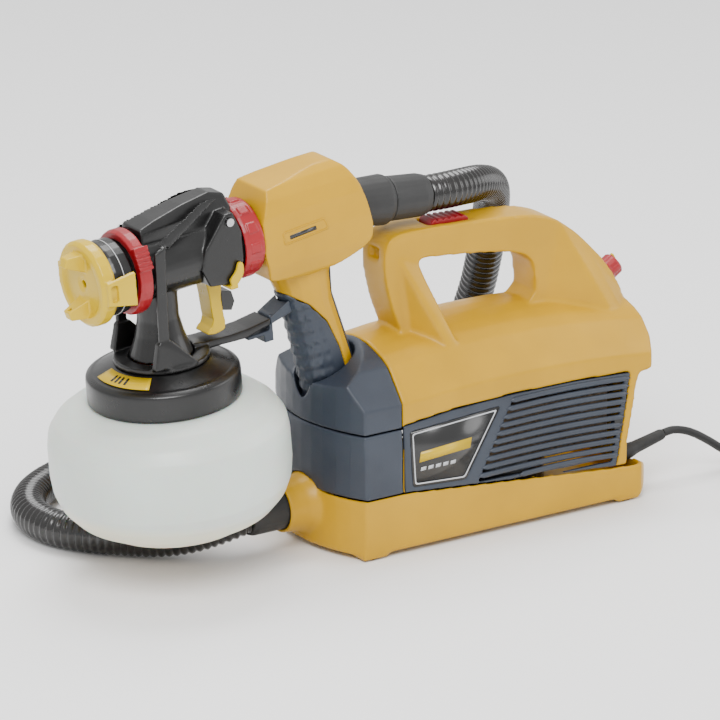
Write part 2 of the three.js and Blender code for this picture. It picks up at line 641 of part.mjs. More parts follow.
const pinSolid = union(rod(1.6, -27, 27, 12), rod(3, 26, 27.6, 16), rod(3, -27.6, -26, 16));
piece("hinge_pin", pinSolid.rotate([90, 0, 0]).translate(-33, 0, 24), steel(), gun);

function guard() {
  const strut = hull([[-98, -30, 18], [-89, -30, 22], [-98, -27.2, 18], [-89, -27.2, 22], [-100, -29.5, -56],
    [-92, -29.5, -56], [-100, -26, -56], [-92, -26, -56]]);
  const foot = hull([[-101, -30, -48], [-90, -30, -48], [-101, -24.6, -48], [-90, -24.6, -48],
    [-106, -31, -67.6],
    [-72, -34, -67.6], [-106, -24, -67.6], [-72, -24, -67.6]]);
  const wing = hull([[-98, -30, 18], [-96, -26.5, 24], [-45, -13, 41.5], [-30, -13, 40], [-60, -18, 30],
    [-89, -29.5, 17]]);
  const half = union(strut, foot, wing);
  const belt = ring(23.6, 34.5, -71.6, -67.6, 28).translate(CUP_X, 0, 0);
  const arm = plate([[-66, -71.6], [-40, -71.6], [-18, -72.6], [3, -68], [4, -63.6], [-14, -66],
    [-30, -66.5],
    [-52, -65.6], [-66, -63]], "y", -11, 11);
  const finRoom = plate([[-110, 26], [-101, 30.6], [-85, 35.1], [-60, 40.1], [-37, 43.1], [-22, 40],
    [-22, 0],
    [-110, 0]], "y", -13, 13);
  const neckRoom = turned([[0, -80], [23.4, -80], [23.4, -67], [18, -52], [15.4, -40], [15.4, -10],
    [0, -10]], 24);
  const barrelRoom = rod(BARREL_R + GAP, -140, -20, 28, "x");
  const rooms = union(frontSolid, finRoom, neckRoom.translate(CUP_X, 0, 0), barrelRoom);
  return union(half, mirrored(half), belt, arm).subtract(rooms);
}
const guardSolid = guard();
piece("trigger_guard", guardSolid, black(), gun);

function hookArm() {
  const arm = plate([[5, -68.6], [4.6, -63.8], [30, -50.5], [47, -45], [47, -58]], "y", -9, 9);
  const clip = union(block([-14, -7, -76.5], [5, 7, -73.6]), block([0, -7, -82], [5, 7, -74]));
  const link = block([4.5, -7, -82], [7.5, 7, -62]);
  const inserts = seenFrom(gripForm(GAP), grip, gun);
  return union(arm, clip, link).subtract(inserts).subtract(guardSolid);
}
piece("hook_arm", hookArm(), slate(), gun);

// ---------------------------------------------------------------- spray gun: trigger and fluid parts
const TRIGGER_PIVOT = [-36, -14];
const TRIGGER_SIDE = [[-46, -13], [-38, -9.4], [-30, -12], [-29, -20], [-34, -30], [-33.5, -48], [-31, -60],
  [-36, -63.4], [-47, -63], [-48, -60.5], [-41, -56], [-42.5, -46], [-43.5, -30], [-46, -22]];
const HOOK_SIDE = [[-36, -24], [-31, -22], [-25.5, -15], [-26, -7], [-30, -6.4], [-32, -13], [-38, -18]];

function acrossPivot(radius, halfLength, segments) {
  const across = rod(radius, -halfLength, halfLength, segments).rotate([90, 0, 0]);
  return across.translate(TRIGGER_PIVOT[0], 0, TRIGGER_PIVOT[1]);
}

function trigger() {
  const lever = plate(rounded(TRIGGER_SIDE, 1), "y", -8, 8).subtract(acrossPivot(2.4, 20, 14));
  const hooks = plate(rounded(HOOK_SIDE, 2), "y", -29, 29).subtract(block([-60, -26, -60], [0, 26, 0]));
  const crossbar = block([-38, -29, -25.2], [-31.5, 29, -23]);
  return union(lever, hooks, crossbar);
}
piece("trigger", trigger(), lemon(), gun);
// The tab sits on the trigger's rear edge and presses the air valve behind it.
const VALVE_TAB = [[-32.4, -33], [-24, -36], [-22, -44], [-25, -50], [-32.4, -48]];
piece("air_valve_tab", plate(VALVE_TAB, "y", -6, 6), black(), gun);
piece("trigger_pin", acrossPivot(2.0, 8.3, 12), steel(), gun);

piece("needle", turned([[0, -134], [0.9, -129], [1.5, -126], [1.5, -60], [0, -60]], 12, "x"), steel(), gun);
function coil(radius, wire, from, turns, pitch) {
  const points = [];
  for (let i = 0; i <= turns * 10; i += 1) {
    const a = (2 * Math.PI * i) / 10;
    points.push([from + (pitch * i) / 10, radius * Math.cos(a), radius * Math.sin(a)]);
  }
  return tube(points, wire / 2, 5, turns * 8);
}
piece("needle_spring", coil(4.4, 1.2, -58, 5, 4.2), steel(), gun);
piece("fluid_nozzle", turned([[2.2, -130], [3.2, -133.8], [7, -127], [10.4, -112], [10.4, -92], [4, -92],
  [2.2, -100], [2.2, -130]], 24, "x"),
  plastic(0x202022, 0.4), gun);

function widthRing() {
  const band = turned([[24.4, -111], [29.5, -111], [31, -108], [31, -101.5], [24.4, -101.5],
    [24.4, -111]], 28, "x");
  const lever = block([-111, -4, 24.6], [-99.6, 13, 31.5]).rotate([66, 0, 0]);
  const grooves = [];
  for (let i = 0; i < 4; i += 1) {
    const y = -1.8 + i * 3.3;
    grooves.push(block([-112, y, 30.6], [-95, y + 1.4, 33]).rotate([66, 0, 0]));
  }
  const bore = rod(BARREL_R + 0.2, -130, -80, 28, "x");
  return grooves.reduce((s, g) => s.subtract(g), union(band, lever)).subtract(bore);
}
piece("width_ring", widthRing(), red(), gun);
piece("nozzle_ring", turned([[20, -130], [26, -130], [27.2, -127], [27.2, -115], [24, -112.4], [24, -98.4],
  [12, -98.4],
  [12, -112], [20, -118], [20, -130]], 28, "x"), black(), gun);

function airCap() {
  const disc = turned([[2.6, -139.5], [2.6, -134.5], [20, -130.6], [29.6, -130.6], [31, -133], [31, -140],
    [28.5, -142.4],
    [24, -142.4], [21, -140], [6, -140.6], [2.6, -139.5]], 28, "x");
  const horn = hull([[-139, -6.5, 24], [-139, 6.5, 24], [-139, -6.5, 9.5], [-139, 6.5, 9.5],
    [-154, -4, 23], [-154, 4, 23],
    [-156, -3.6, 16.5], [-156, 3.6, 16.5]]);
  const jet = rod(1.5, -8, 8, 10).rotate([0, 45, 0]).translate(-153, 0, 15.5);
  const ear = hull([[-140, -30, 9], [-140, -30, -9], [-140, -33, 8], [-140, -33, -8], [-118, -32, 13],
    [-118, -32, -13],
    [-118, -35, 12], [-118, -35, -12]]);
  const slot = block([-137, -40, -6], [-132, -29, 6]);
  const clear = ring(0.1, 27.6, -131, -90, 28, "x");
  const horns = union(horn, horn.mirror([0, 0, 1])).subtract(jet).subtract(jet.mirror([0, 0, 1]));
  const ears = union(ear, mirrored(ear)).subtract(slot).subtract(mirrored(slot));
  return union(disc, horns, ears.subtract(clear)).subtract(rod(2.6, -160, -120, 16, "x"));
}
piece("air_cap", airCap(), lemon(), gun);

// ---------------------------------------------------------------- spray gun: lid, cup and suction tube
function aroundCup(solid) {
  return solid.translate(CUP_X, 0, 0);
}
const lidProfile = [[23.4, -72], [34, -72], [36, -72.6], [49, -78], [54.4, -80], [LID_R, -83],
  [LID_R, -99.6], [52.6, -99.6],
  [52.6, -84], [20, -84], [20, -72], [23.4, -72]];
const lidStep = block([-60, -13, -82.6], [-38, 13, -60]).rotate([0, 14, 0]).translate(2, 0, -2.5);
const lidSolid = turned(lidProfile, 32).subtract(lidStep);
piece("lid", aroundCup(lidSolid), black(), gun);
const labelCone = turned([[37, -72.5], [53, -78.9], [53, -78.3], [37, -71.9], [37, -72.5]], 32);
const lidLabel = plate([[-60, -38], [-20, -14], [-20, 14], [-60, 38]], "z", -90, -60).rotate([0, 0, 14]);
piece("lid_label", aroundCup(labelCone.intersect(lidLabel)), lemon(), gun);
piece("lid_gasket", aroundCup(ring(42, 50.6, -86, -84.3, 28)), rubber(), gun);

const cupOuter = [[50.8, -86.4], [50.8, -99.9], [57, -100.2], [69, -105], [79, -112.5], [84.5, -121],
  [CUP_R, -131],
  [CUP_R, -152], [84.6, -164], [80, -175], [71, -185], [60, -190.6], [55, -192], [53, -195]];
const cupInner = [[51.2, -194.4], [0, -193.4], [0, -191.4], [58, -188.4], [69, -183], [77.8, -173.6],
  [82.4, -163], [83.8, -152],
  [83.8, -131], [82.4, -122], [77.4, -114.4], [68, -107.2], [56, -102.4], [48.6, -101.4], [48.6, -86.4],
  [50.8, -86.4]];
const cupProfile = [...cupOuter, ...cupInner];
piece("paint_cup", aroundCup(turned(cupProfile, 32)), milky(), gun);

function suctionTube() {
  const bend = [[0, 0, -68.5], [0, 0, -90], [0, 0, -120], [2, 0, -140], [12, 0, -158], [26, 0, -172],
    [34, 0, -180]];
  const outer = tube(bend, 4.2, 8, 10);
  return outer.subtract(tube([[0, 0, -60], ...bend.slice(1, -1), [40, 0, -186]], 2.9, 8, 10));
}
piece("suction_tube", aroundCup(suctionTube()), plastic(0xd8d8d2, 0.35), gun);

export default sprayer;
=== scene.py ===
import json
import math

import bmesh
import bpy
from mathutils import Matrix, Vector
from mathutils.bvhtree import BVHTree


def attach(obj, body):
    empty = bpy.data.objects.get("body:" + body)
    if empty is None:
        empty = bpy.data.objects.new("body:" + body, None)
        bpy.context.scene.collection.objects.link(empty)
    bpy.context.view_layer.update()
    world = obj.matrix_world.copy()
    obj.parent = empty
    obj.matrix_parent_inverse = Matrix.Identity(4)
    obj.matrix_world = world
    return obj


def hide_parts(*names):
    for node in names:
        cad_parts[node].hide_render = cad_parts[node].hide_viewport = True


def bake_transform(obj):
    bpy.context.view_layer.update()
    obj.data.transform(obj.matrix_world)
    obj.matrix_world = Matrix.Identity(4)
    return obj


# A turbine paint sprayer in a plain studio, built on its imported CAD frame.
# Lengths in the tables are millimetres; Blender works in metres.

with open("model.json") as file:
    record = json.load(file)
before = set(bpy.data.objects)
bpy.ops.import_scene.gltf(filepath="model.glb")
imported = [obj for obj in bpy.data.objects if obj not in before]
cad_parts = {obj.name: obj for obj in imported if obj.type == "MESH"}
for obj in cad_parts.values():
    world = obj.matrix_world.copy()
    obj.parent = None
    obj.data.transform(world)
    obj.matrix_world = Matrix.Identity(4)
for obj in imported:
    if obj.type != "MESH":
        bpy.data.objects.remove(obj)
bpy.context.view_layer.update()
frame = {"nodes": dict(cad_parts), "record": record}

BODY_OF = {node: body for body, nodes in frame["record"]["behaviour"]["bodies"].items() for node in nodes}
SLOT_OF = {part["node"]: part["material_slot"] for part in frame["record"]["subparts"]}

# ---------------------------------------------------------------- driving dimensions
CENTRE_X = 23.2  # the unit's front corners lie this far behind the middle of the object
GUN = (-59, 0, 242.5)
GUN_PITCH = math.radians(5.03)
GRIP_FOOT = (1.7, 0, 138)
GRIP_LEAN = math.radians(15.8)
CUP_X = -82  # the cup's axis along the barrel
HOSE_OD, HOSE_PITCH, HOSE_DEPTH = 27.0, 5.2, 1.5
LEAD_D = 6.0
COIL_CENTRE = (357, -86)
COIL_COLUMNS = (40.4, 34.2, 28.0)  # radii of the turns, a diameter apart
COIL_LAYERS = (3.2, 9.4, 15.6)  # heights of the turns


def at(x, y, z):
    """A point measured in millimetres from the unit's front corners, in the row frame."""
    return Vector((x - CENTRE_X, y, z)) / 1000


def frame_of(origin, pitch):
    """The matrix that takes millimetres along a leaning part into the row frame."""
    return Matrix.Translation(at(*origin)) @ Matrix.Rotation(-pitch, 4, "Y") @ Matrix.Scale(0.001, 4)


GUN_FRAME = frame_of(GUN, GUN_PITCH)
GRIP_FRAME = frame_of(GRIP_FOOT, GRIP_LEAN)


# ---------------------------------------------------------------- camera, floor and light
def make_camera():
    azimuth, elevation, distance = math.radians(-34), math.radians(19), 5.72
    aim = Vector((0.0104, 0, 0.1297))
    level = math.cos(elevation)
    back = Vector((math.sin(azimuth) * level, -math.cos(azimuth) * level, math.sin(elevation)))
    data = bpy.data.cameras.new("camera")
    data.lens = 400
    camera = bpy.data.objects.new("camera", data)
    bpy.context.collection.objects.link(camera)
    camera.location = aim + back * distance
    camera.rotation_euler = (-back).to_track_quat("-Z", "Y").to_euler()
    bpy.context.scene.camera = camera


def softbox(name, place, size, watts):
    data = bpy.data.lights.new(name, "AREA")
    data.shape = "DISK"
    data.size, data.energy = size, watts
    light = bpy.data.objects.new(name, data)
    bpy.context.collection.objects.link(light)
    light.location = place
    light.rotation_euler = (Vector((0, 0, 0.12)) - Vector(place)).to_track_quat("-Z", "Y").to_euler()


def make_studio():
    world = bpy.data.worlds.new("studio")
    bpy.context.scene.world = world
    world.use_nodes = True
    background = world.node_tree.nodes["Background"]
    background.inputs["Color"].default_value = (1, 1, 1, 1)
    background.inputs["Strength"].default_value = 1.15
    softbox("key", (-0.9, -1.2, 1.6), 1.1, 42)
    softbox("fill", (1.6, -0.9, 0.9), 1.2, 12)
    softbox("top", (0.2, 0.5, 1.7), 1.0, 26)


# ---------------------------------------------------------------- materials
def linked(tree, source, output, target, name):
    tree.links.new(source.outputs[output], target.inputs[name])


def noise(tree, where, scale, detail=2.0):
    node = tree.nodes.new("ShaderNodeTexNoise")
    node.inputs["Scale"].default_value = scale
    node.inputs["Detail"].default_value = detail
    linked(tree, where, "Object", node, "Vector")
    return node


def spread_to(tree, source, output, low, high):
    node = tree.nodes.new("ShaderNodeMapRange")
    node.inputs["From Min"].default_value = 0.3
    node.inputs["From Max"].default_value = 0.7
    node.inputs["To Min"].default_value = low
    node.inputs["To Max"].default_value = high
    linked(tree, source, output, node, "Value")
    return node


def surface(name, low, high, rough, grain=900, relief=0.12, patch=22, wear=None, metal=0.0, coat=0.0,
            **sockets):
    """A surface with uneven tint and gloss, fine grain, and optional lighter worn edges."""
    material = bpy.data.materials.new(name)
    material.use_nodes = True
    tree = material.node_tree
    shader = tree.nodes["Principled BSDF"]
    shader.inputs["Metallic"].default_value = metal
    shader.inputs["Coat Weight"].default_value = coat
    shader.inputs["Coat Roughness"].default_value = 0.18
    for socket, value in sockets.items():
        shader.inputs[socket.replace("_", " ")].default_value = value
    where = tree.nodes.new("ShaderNodeTexCoord")
    tint = tree.nodes.new("ShaderNodeValToRGB")
    tint.color_ramp.elements[0].position, tint.color_ramp.elements[0].color = 0.35, (*low, 1)
    tint.color_ramp.elements[1].position, tint.color_ramp.elements[1].color = 0.65, (*high, 1)
    linked(tree, noise(tree, where, patch, 3), "Fac", tint, "Fac")
    colour = tint
    if wear:
        edge = tree.nodes.new("ShaderNodeMapRange")
        edge.inputs["From Min"].default_value, edge.inputs["From Max"].default_value = 0.53, 0.64
        edge.inputs["To Max"].default_value = 0.5
        linked(tree, tree.nodes.new("ShaderNodeNewGeometry"), "Pointiness", edge, "Value")
        colour = tree.nodes.new("ShaderNodeMixRGB")
        colour.inputs["Color2"].default_value = (*wear, 1)
        linked(tree, edge, "Result", colour, "Fac")
        linked(tree, tint, "Color", colour, "Color1")
    linked(tree, colour, "Color", shader, "Base Color")
    gloss = spread_to(tree, noise(tree, where, patch * 3, 4), "Fac", *rough)
    linked(tree, gloss, "Result", shader, "Roughness")
    bump = tree.nodes.new("ShaderNodeBump")
    bump.inputs["Strength"].default_value = relief
    bump.inputs["Distance"].default_value = 0.0004
    linked(tree, noise(tree, where, grain), "Fac", bump, "Height")
    linked(tree, bump, "Normal", shader, "Normal")
    return material


YELLOW = surface("yellow_plastic", (0.44, 0.238, 0.0), (0.49, 0.266, 0.0), (0.34, 0.44), coat=0.04,
                 Specular_IOR_Level=0.3)
LEMON = surface("lemon_plastic", (0.52, 0.345, 0.0), (0.57, 0.38, 0.0), (0.26, 0.36), grain=500, coat=0.08,
                Specular_IOR_Level=0.35)
SLATE = surface("slate_plastic", (0.017, 0.023, 0.036), (0.023, 0.031, 0.046), (0.40, 0.52), 1300, 0.25,
                wear=(0.05, 0.06, 0.08))
BLACK = surface("black_plastic", (0.003, 0.003, 0.003), (0.005, 0.005, 0.005), (0.26, 0.38), 700, 0.15,
                wear=(0.02, 0.02, 0.02))
CUFF = surface("cuff_plastic", (0.009, 0.009, 0.009), (0.013, 0.013, 0.013), (0.48, 0.60), 1500, 0.35,
               wear=(0.03, 0.03, 0.03))
HOSE_BLACK = surface("hose_plastic", (0.003, 0.0028, 0.0026), (0.006, 0.005, 0.0045), (0.16, 0.28), 600, 0.08,
                     coat=0.3)
CRIMSON = surface("red_plastic", (0.22, 0.002, 0.006), (0.28, 0.003, 0.008), (0.32, 0.42),
                  wear=(0.36, 0.02, 0.03))
MILKY = surface("milky_plastic", (0.70, 0.675, 0.62), (0.76, 0.735, 0.68), (0.30, 0.42), 300, 0.05, patch=14,
                Subsurface_Weight=0.35, Subsurface_Scale=0.02, Transmission_Weight=0.12)


def warm_base(material, low, high, colour):
    """Tints the material warm below a height, towards the bottom."""
    tree = material.node_tree
    shader = tree.nodes["Principled BSDF"]
    before = shader.inputs["Base Color"].links[0].from_socket
    where = tree.nodes.new("ShaderNodeTexCoord")
    axes = tree.nodes.new("ShaderNodeSeparateXYZ")
    linked(tree, where, "Object", axes, "Vector")
    share = tree.nodes.new("ShaderNodeMapRange")
    share.inputs["From Min"].default_value, share.inputs["From Max"].default_value = low, high
    share.inputs["To Min"].default_value, share.inputs["To Max"].default_value = 0.85, 0.0
    linked(tree, axes, "Z", share, "Value")
    tint = tree.nodes.new("ShaderNodeMixRGB")
    tint.inputs["Color2"].default_value = (*colour, 1)
    linked(tree, share, "Result", tint, "Fac")
    tree.links.new(before, tint.inputs["Color1"])
    linked(tree, tint, "Color", shader, "Base Color")


warm_base(MILKY, 0.055, 0.064, (0.86, 0.74, 0.56))
RUBBER = surface("rubber", (0.008, 0.008, 0.008), (0.018, 0.018, 0.018), (0.55, 0.75), 1800, 0.5)
STEEL = surface("steel", (0.50, 0.50, 0.51), (0.62, 0.62, 0.63), (0.20, 0.36), 1400, 0.1, metal=1.0)
CAST = surface("cast_metal", (0.45, 0.46, 0.48), (0.58, 0.59, 0.61), (0.35, 0.5), 800, 0.4, metal=0.9)
MOTOR = surface("motor_metal", (0.12, 0.08, 0.05), (0.22, 0.14, 0.08), (0.35, 0.6), 500, 0.6, metal=0.5)
FOAM = surface("foam", (0.14, 0.10, 0.06), (0.24, 0.17, 0.11), (0.85, 0.98), 700, 1.0, patch=260)
BOARD = surface("circuit_board", (0.010, 0.08, 0.03), (0.02, 0.13, 0.05), (0.4, 0.6), 900, 0.3)
PRINT = surface("label_print", (0.005, 0.005, 0.005), (0.009, 0.009, 0.009), (0.20, 0.28), 400, 0.04,
                coat=0.3)
SILVER = surface("label_silver", (0.42, 0.43, 0.45), (0.50, 0.51, 0.53), (0.30, 0.40), 400, 0.05)

SLOT_LOOK = {
    "yellow_plastic": YELLOW, "lemon_plastic": LEMON, "slate_plastic": SLATE, "black_plastic": BLACK,
    "cuff_plastic": CUFF, "hose_plastic": HOSE_BLACK, "red_plastic": CRIMSON, "milky_plastic": MILKY,
    "rubber": RUBBER, "steel": STEEL, "cast_metal": CAST, "motor_metal": MOTOR, "foam": FOAM,
    "circuit_board": BOARD,
}


def paint(piece, material):
    piece.data.materials.clear()
    piece.data.materials.append(material)


# ---------------------------------------------------------------- making pieces
def smooth_object(name, bm, material):
    """A smooth-shaded object from a bmesh in metres."""
    mesh = bpy.data.meshes.new(name)
    bmesh.ops.recalc_face_normals(bm, faces=bm.faces)
    bm.to_mesh(mesh)
    bm.free()
    piece = bpy.data.objects.new(name, mesh)
    bpy.context.collection.objects.link(piece)
    mesh.polygons.foreach_set("use_smooth", [True] * len(mesh.polygons))
    paint(piece, material)
    return piece


def new_piece(name, bm, material, body, stands_for=()):
    """A smooth-shaded object that rides on a CAD body."""
    piece = smooth_object(name, bm, material)
    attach(piece, body)
    if stands_for:
        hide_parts(*stands_for)
    return piece


def rings_mesh(rings, closed=False, caps=False):
    """A bmesh skin over rings of points that all have the same count."""
    bm = bmesh.new()
    loops = [[bm.verts.new(point) for point in ring] for ring in rings]
    pairs = list(zip(loops, loops[1:])) + ([(loops[-1], loops[0])] if closed else [])
    for low, high in pairs:
        count = len(low)
        for i in range(count):
            j = (i + 1) % count
            bm.faces.new((low[i], low[j], high[j], high[i]))
    if caps:
        bm.faces.new(reversed(loops[0]))
        bm.faces.new(loops[-1])
    return bm


def lathe(profile, where, segments=96, along="z"):
    """[radius, height] pairs turned about a frame's Z or X axis."""
    rings = []
    for radius, height in profile:
        ring = []
        for i in range(segments):
            a = 2 * math.pi * i / segments
            across, up = radius * math.cos(a), radius * math.sin(a)
            ring.append(where @ Vector((across, up, height) if along == "z" else (height, across, up)))
        rings.append(ring)
    return rings_mesh(rings, closed=True)


def rounded_profile(points, radius):
    """The closed profile with each corner cut back by a short arc."""
    out = []
    count = len(points)
    for i, point in enumerate(points):
        p, before, after = Vector(point), Vector(points[i - 1]), Vector(points[(i + 1) % count])
        start = p + (before - p).normalized() * min(radius, (before - p).length * 0.4)
        end = p + (after - p).normalized() * min(radius, (after - p).length * 0.4)
        for t in (0, 0.33, 0.67, 1):
            out.append(tuple((1 - t) ** 2 * start + 2 * t * (1 - t) * p + t * t * end))
    return out


def softened(name, nodes, voxel, rounds, keep=0.5, material=None):
    """CAD solids joined, remeshed at a voxel size in mm and relaxed, so that edges have a moulded radius."""
    bm = bmesh.new()
    for node in nodes:
        bm.from_mesh(frame["nodes"][node].data)
    mesh = bpy.data.meshes.new(name + "_source")
    bm.to_mesh(mesh)
    bm.free()
    source = bpy.data.objects.new(name + "_source", mesh)
    bpy.context.collection.objects.link(source)
    remesh = source.modifiers.new("remesh", "REMESH")
    remesh.mode, remesh.voxel_size = "VOXEL", voxel / 1000
    relax = source.modifiers.new("relax", "SMOOTH")
    relax.factor, relax.iterations = 0.5, rounds
    thin = source.modifiers.new("thin", "DECIMATE")
    thin.ratio = keep
    made = source.evaluated_get(bpy.context.evaluated_depsgraph_get())
    bm = bmesh.new()
    bm.from_mesh(made.to_mesh())
    made.to_mesh_clear()
    bpy.data.objects.remove(source)
    slot = SLOT_OF[nodes[0]]
    return new_piece(name, bm, material or SLOT_LOOK[slot], BODY_OF[nodes[0]], nodes)


# ---------------------------------------------------------------- cords
HOSE = [
    (-66.6, 0, 31.5), (-76, 2, 28.6), (-87, 8, 24), (-101, 19, 18.2), (-116, 33, 14.6), (-132, 49, 13.8),
    (-150, 68, 13.8), (-165, 96, 13.8), (-164, 130, 13.8), (-145, 160, 13.8),
    (-112, 182, 13.8), (-70, 193, 13.8),
    (-25, 192, 13.8), (20, 184, 13.8), (64, 173, 13.8), (106, 165, 13.8), (150, 161, 18), (188, 152, 38),
    (210, 136, 72), (216, 120, 110), (213, 102, 150), (203, 80, 190), (183, 52, 219), (156, 27, 233.5),
    (130, 10, 240.5), (108, 2, 243.4), (88.2, 0, 244.5),
]
LEAD = [
    (277.5, -35, 36.3), (286, -35.3, 37.2), (300, -36.5, 33.5), (316, -38.5, 24), (330, -41, 14),
    (346, -45, 6.5),
]


def catmull_rom(points, steps):
    """A centripetal Catmull-Rom curve through the points."""
    pts = [Vector(p) for p in points]
    pts = [2 * pts[0] - pts[1], *pts, 2 * pts[-1] - pts[-2]]
    out = []
    for p0, p1, p2, p3 in zip(pts, pts[1:], pts[2:], pts[3:]):
        a, b, c = ((q - p).length ** 0.5 for p, q in ((p0, p1), (p1, p2), (p2, p3)))
        m1 = ((p1 - p0) / a - (p2 - p0) / (a + b) + (p2 - p1) / b) * b
        m2 = ((p2 - p1) / b - (p3 - p1) / (b + c) + (p3 - p2) / c) * b
        for i in range(steps):
            t = i / steps
            cubic = 2 * p1 - 2 * p2 + m1 + m2
            square = -3 * p1 + 3 * p2 - 2 * m1 - m2
            out.append(cubic * t ** 3 + square * t ** 2 + m1 * t + p1)
    return [*out, pts[-2]]


def evenly(points, step):
    """Points a fixed step apart along a polyline."""
    out, carry = [points[0]], 0.0
    for a, b in zip(points, points[1:]):
        length = (b - a).length
        while carry + step <= length:
            carry += step
            out.append(a.lerp(b, carry / length))
        carry -= length
    return out


def corrugated(points, radius, pitch, depth, sides=28, samples=6):
    """A tube along the points whose wall rises and falls in rings."""
    path = evenly(points, pitch / samples)
    rings, side = [], None
    for i, point in enumerate(path):
        ahead = (path[min(i + 1, len(path) - 1)] - path[max(i - 1, 0)]).normalized()
        side = side or ahead.orthogonal().normalized()
        side = (side - ahead * side.dot(ahead)).normalized()
        other = ahead.cross(side)
        wave = 0.5 + 0.5 * math.cos(2 * math.pi * i / samples)
        r = radius - depth * (1 - wave ** 0.7)
        turn = [2 * math.pi * k / sides for k in range(sides)]
        rings.append([point + (side * math.cos(a) + other * math.sin(a)) * r for a in turn])
    return rings_mesh(rings, caps=True)


def make_hose():
    route = [at(*p) for p in HOSE]
    line = catmull_rom(route, 16)
    bm = corrugated(line, HOSE_OD / 2000, HOSE_PITCH / 1000, HOSE_DEPTH / 1000)
    hose = smooth_object("corrugated_hose", bm, HOSE_BLACK)
    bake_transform(hose)
    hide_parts("air_hose")
    evenly(line, 0.005)


def coil_point(angle, radius, height):
    a = math.radians(angle)
    return (COIL_CENTRE[0] + radius * math.cos(a), COIL_CENTRE[1] + radius * math.sin(a), height)


def coil_turns():
    """The wound lead: inwards along the bottom layer, back out in the second, one turn on top."""
    outer, middle, inner = COIL_COLUMNS
    low, mid, high = COIL_LAYERS
    stops = [(outer, low), (middle, low), (inner, low), (inner, mid), (middle, mid), (outer, mid),
             (middle, high)]
    points = []
    for turn, (radius, height) in enumerate(stops):
        after = stops[min(turn + 1, len(stops) - 1)]
        for i in range(24):
            share = i / 24
            move = max(0.0, (share - 0.75) / 0.25)
            ease = move * move * (3 - 2 * move)
            r = radius + (after[0] - radius) * ease
            z = height + (after[1] - height) * ease
            away = abs((share * 360 + 180) % 360 - 180)
            if height == mid and radius == outer:
                z = max(z, mid + 4.0 * max(0.0, 1 - away / 60))
            points.append(coil_point(95 - 360 * share, r, z))
    return points


def make_lead():
    end = [coil_point(60, 34.2, 15.6), coil_point(20, 34.2, 15.6), coil_point(-20, 34.2, 15.6),
           coil_point(-60, 34.4, 15.6), coil_point(-90, 34.6, 15.6), (343, -121.5, 15.6), (331, -124.5, 13),
           (323, -126.8, 9.6), (317, -128, 8)]
    route = [*LEAD, *coil_turns(), *end]
    line = catmull_rom([at(*p) for p in route], 3)
    curve = bpy.data.curves.new("mains_cord", "CURVE")
    curve.dimensions = "3D"
    curve.bevel_depth, curve.bevel_resolution = LEAD_D / 2000, 4
    curve.use_fill_caps = True
    spline = curve.splines.new("POLY")
    spline.points.add(len(line) - 1)
    for point, place in zip(spline.points, line):
        point.co = (*place, 1)
    lead = bpy.data.objects.new("mains_cord", curve)
    bpy.context.collection.objects.link(lead)
    paint(lead, RUBBER)
    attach(lead, "unit")
    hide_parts("mains_lead", "mains_coil")
    gland = softened("gland", ["cord_gland"], 0.5, 4, 0.5)


# ---------------------------------------------------------------- the turbine unit
def make_unit():
    softened("housing_with_handle", ["upper_housing", "carry_handle"], 1.5, 9, 0.4)
    softened("tub", ["base_tub"], 1.4, 7, 0.4)
    softened("holder_lower", ["holder_front"], 1.1, 5, 0.4)
    softened("holder_upper", ["holder_top"], 1.1, 5, 0.4)
    softened("slider", ["power_switch"], 0.5, 3, 0.5)
    softened("dial_knob", ["power_dial"], 0.5, 3, 0.5)


VENT_RIBS = 11
PANEL_LOW_X, PANEL_LOW_Z, PANEL_FALL = 32.6, 46.4, 0.0906  # the panel's lower edge falls to the rear
LABEL_CLIMB = 0.06
LABEL = [(39.5, 49.5), (37.5, 91), (116, 95.5), (85, 46.5)]


def side_face(z):
    """Distance of the unit's side from its middle at a height."""
    return 59.5 - (z - 46) * 2 / 67


def mix(a, b, t):
    return a + (b - a) * t


def vent_rib(hand, t):
    """One rounded louvre: a half-oval bar with round ends, standing proud of the panel."""
    x0, z0 = mix(127, 92, t) - 3, mix(98, 35, t)
    x0 = max(x0, PANEL_LOW_X + (PANEL_LOW_Z + 3 - z0) / PANEL_FALL)
    x1, z1 = mix(226, 214, t) + 5, mix(95, 33, t)
    rings = []
    for i in range(25):
        s = i / 24
        swell = max(0.05, min(1, math.sin(math.pi * min(s, 1 - s) / 0.06) if min(s, 1 - s) < 0.03 else 1))
        x, z = mix(x0, x1, s), mix(z0, z1, s) + 1.6 * math.sin(math.pi * s)
        ring = []
        for k in range(12):
            a = 2 * math.pi * k / 12
            depth = 1.5 * swell * math.cos(a)
            ring.append(at(x, hand * (side_face(z) + depth), z + 2.1 * swell * math.sin(a)))
        rings.append(ring)
    return rings_mesh(rings, caps=True)


def joined(parts):
    whole = bmesh.new()
    for part in parts:
        mesh = bpy.data.meshes.new("part")
        part.to_mesh(mesh)
        part.free()
        whole.from_mesh(mesh)
        bpy.data.meshes.remove(mesh)
    return whole


def inset(outline, distance):
    """The outline moved inwards by a distance along each corner's bisector."""
    out = []
    count = len(outline)
    for i, point in enumerate(outline):
        p, before, after = Vector(point), Vector(outline[i - 1]), Vector(outline[(i + 1) % count])
        u, v = (before - p).normalized(), (after - p).normalized()
        half = math.acos(max(-1, min(1, u.dot(v)))) / 2
        out.append(tuple(p + (u + v).normalized() * distance / math.sin(half)))
    return out


def side_slab(outline, hand, low, high):
    """An outline of (x, z) on the unit's side, from one depth below its face to another above it."""
    rings = []
    for depth in (low, high):
        rings.append([at(x, hand * (side_face(z) + depth), z) for x, z in outline])
    return rings_mesh(rings, caps=True)


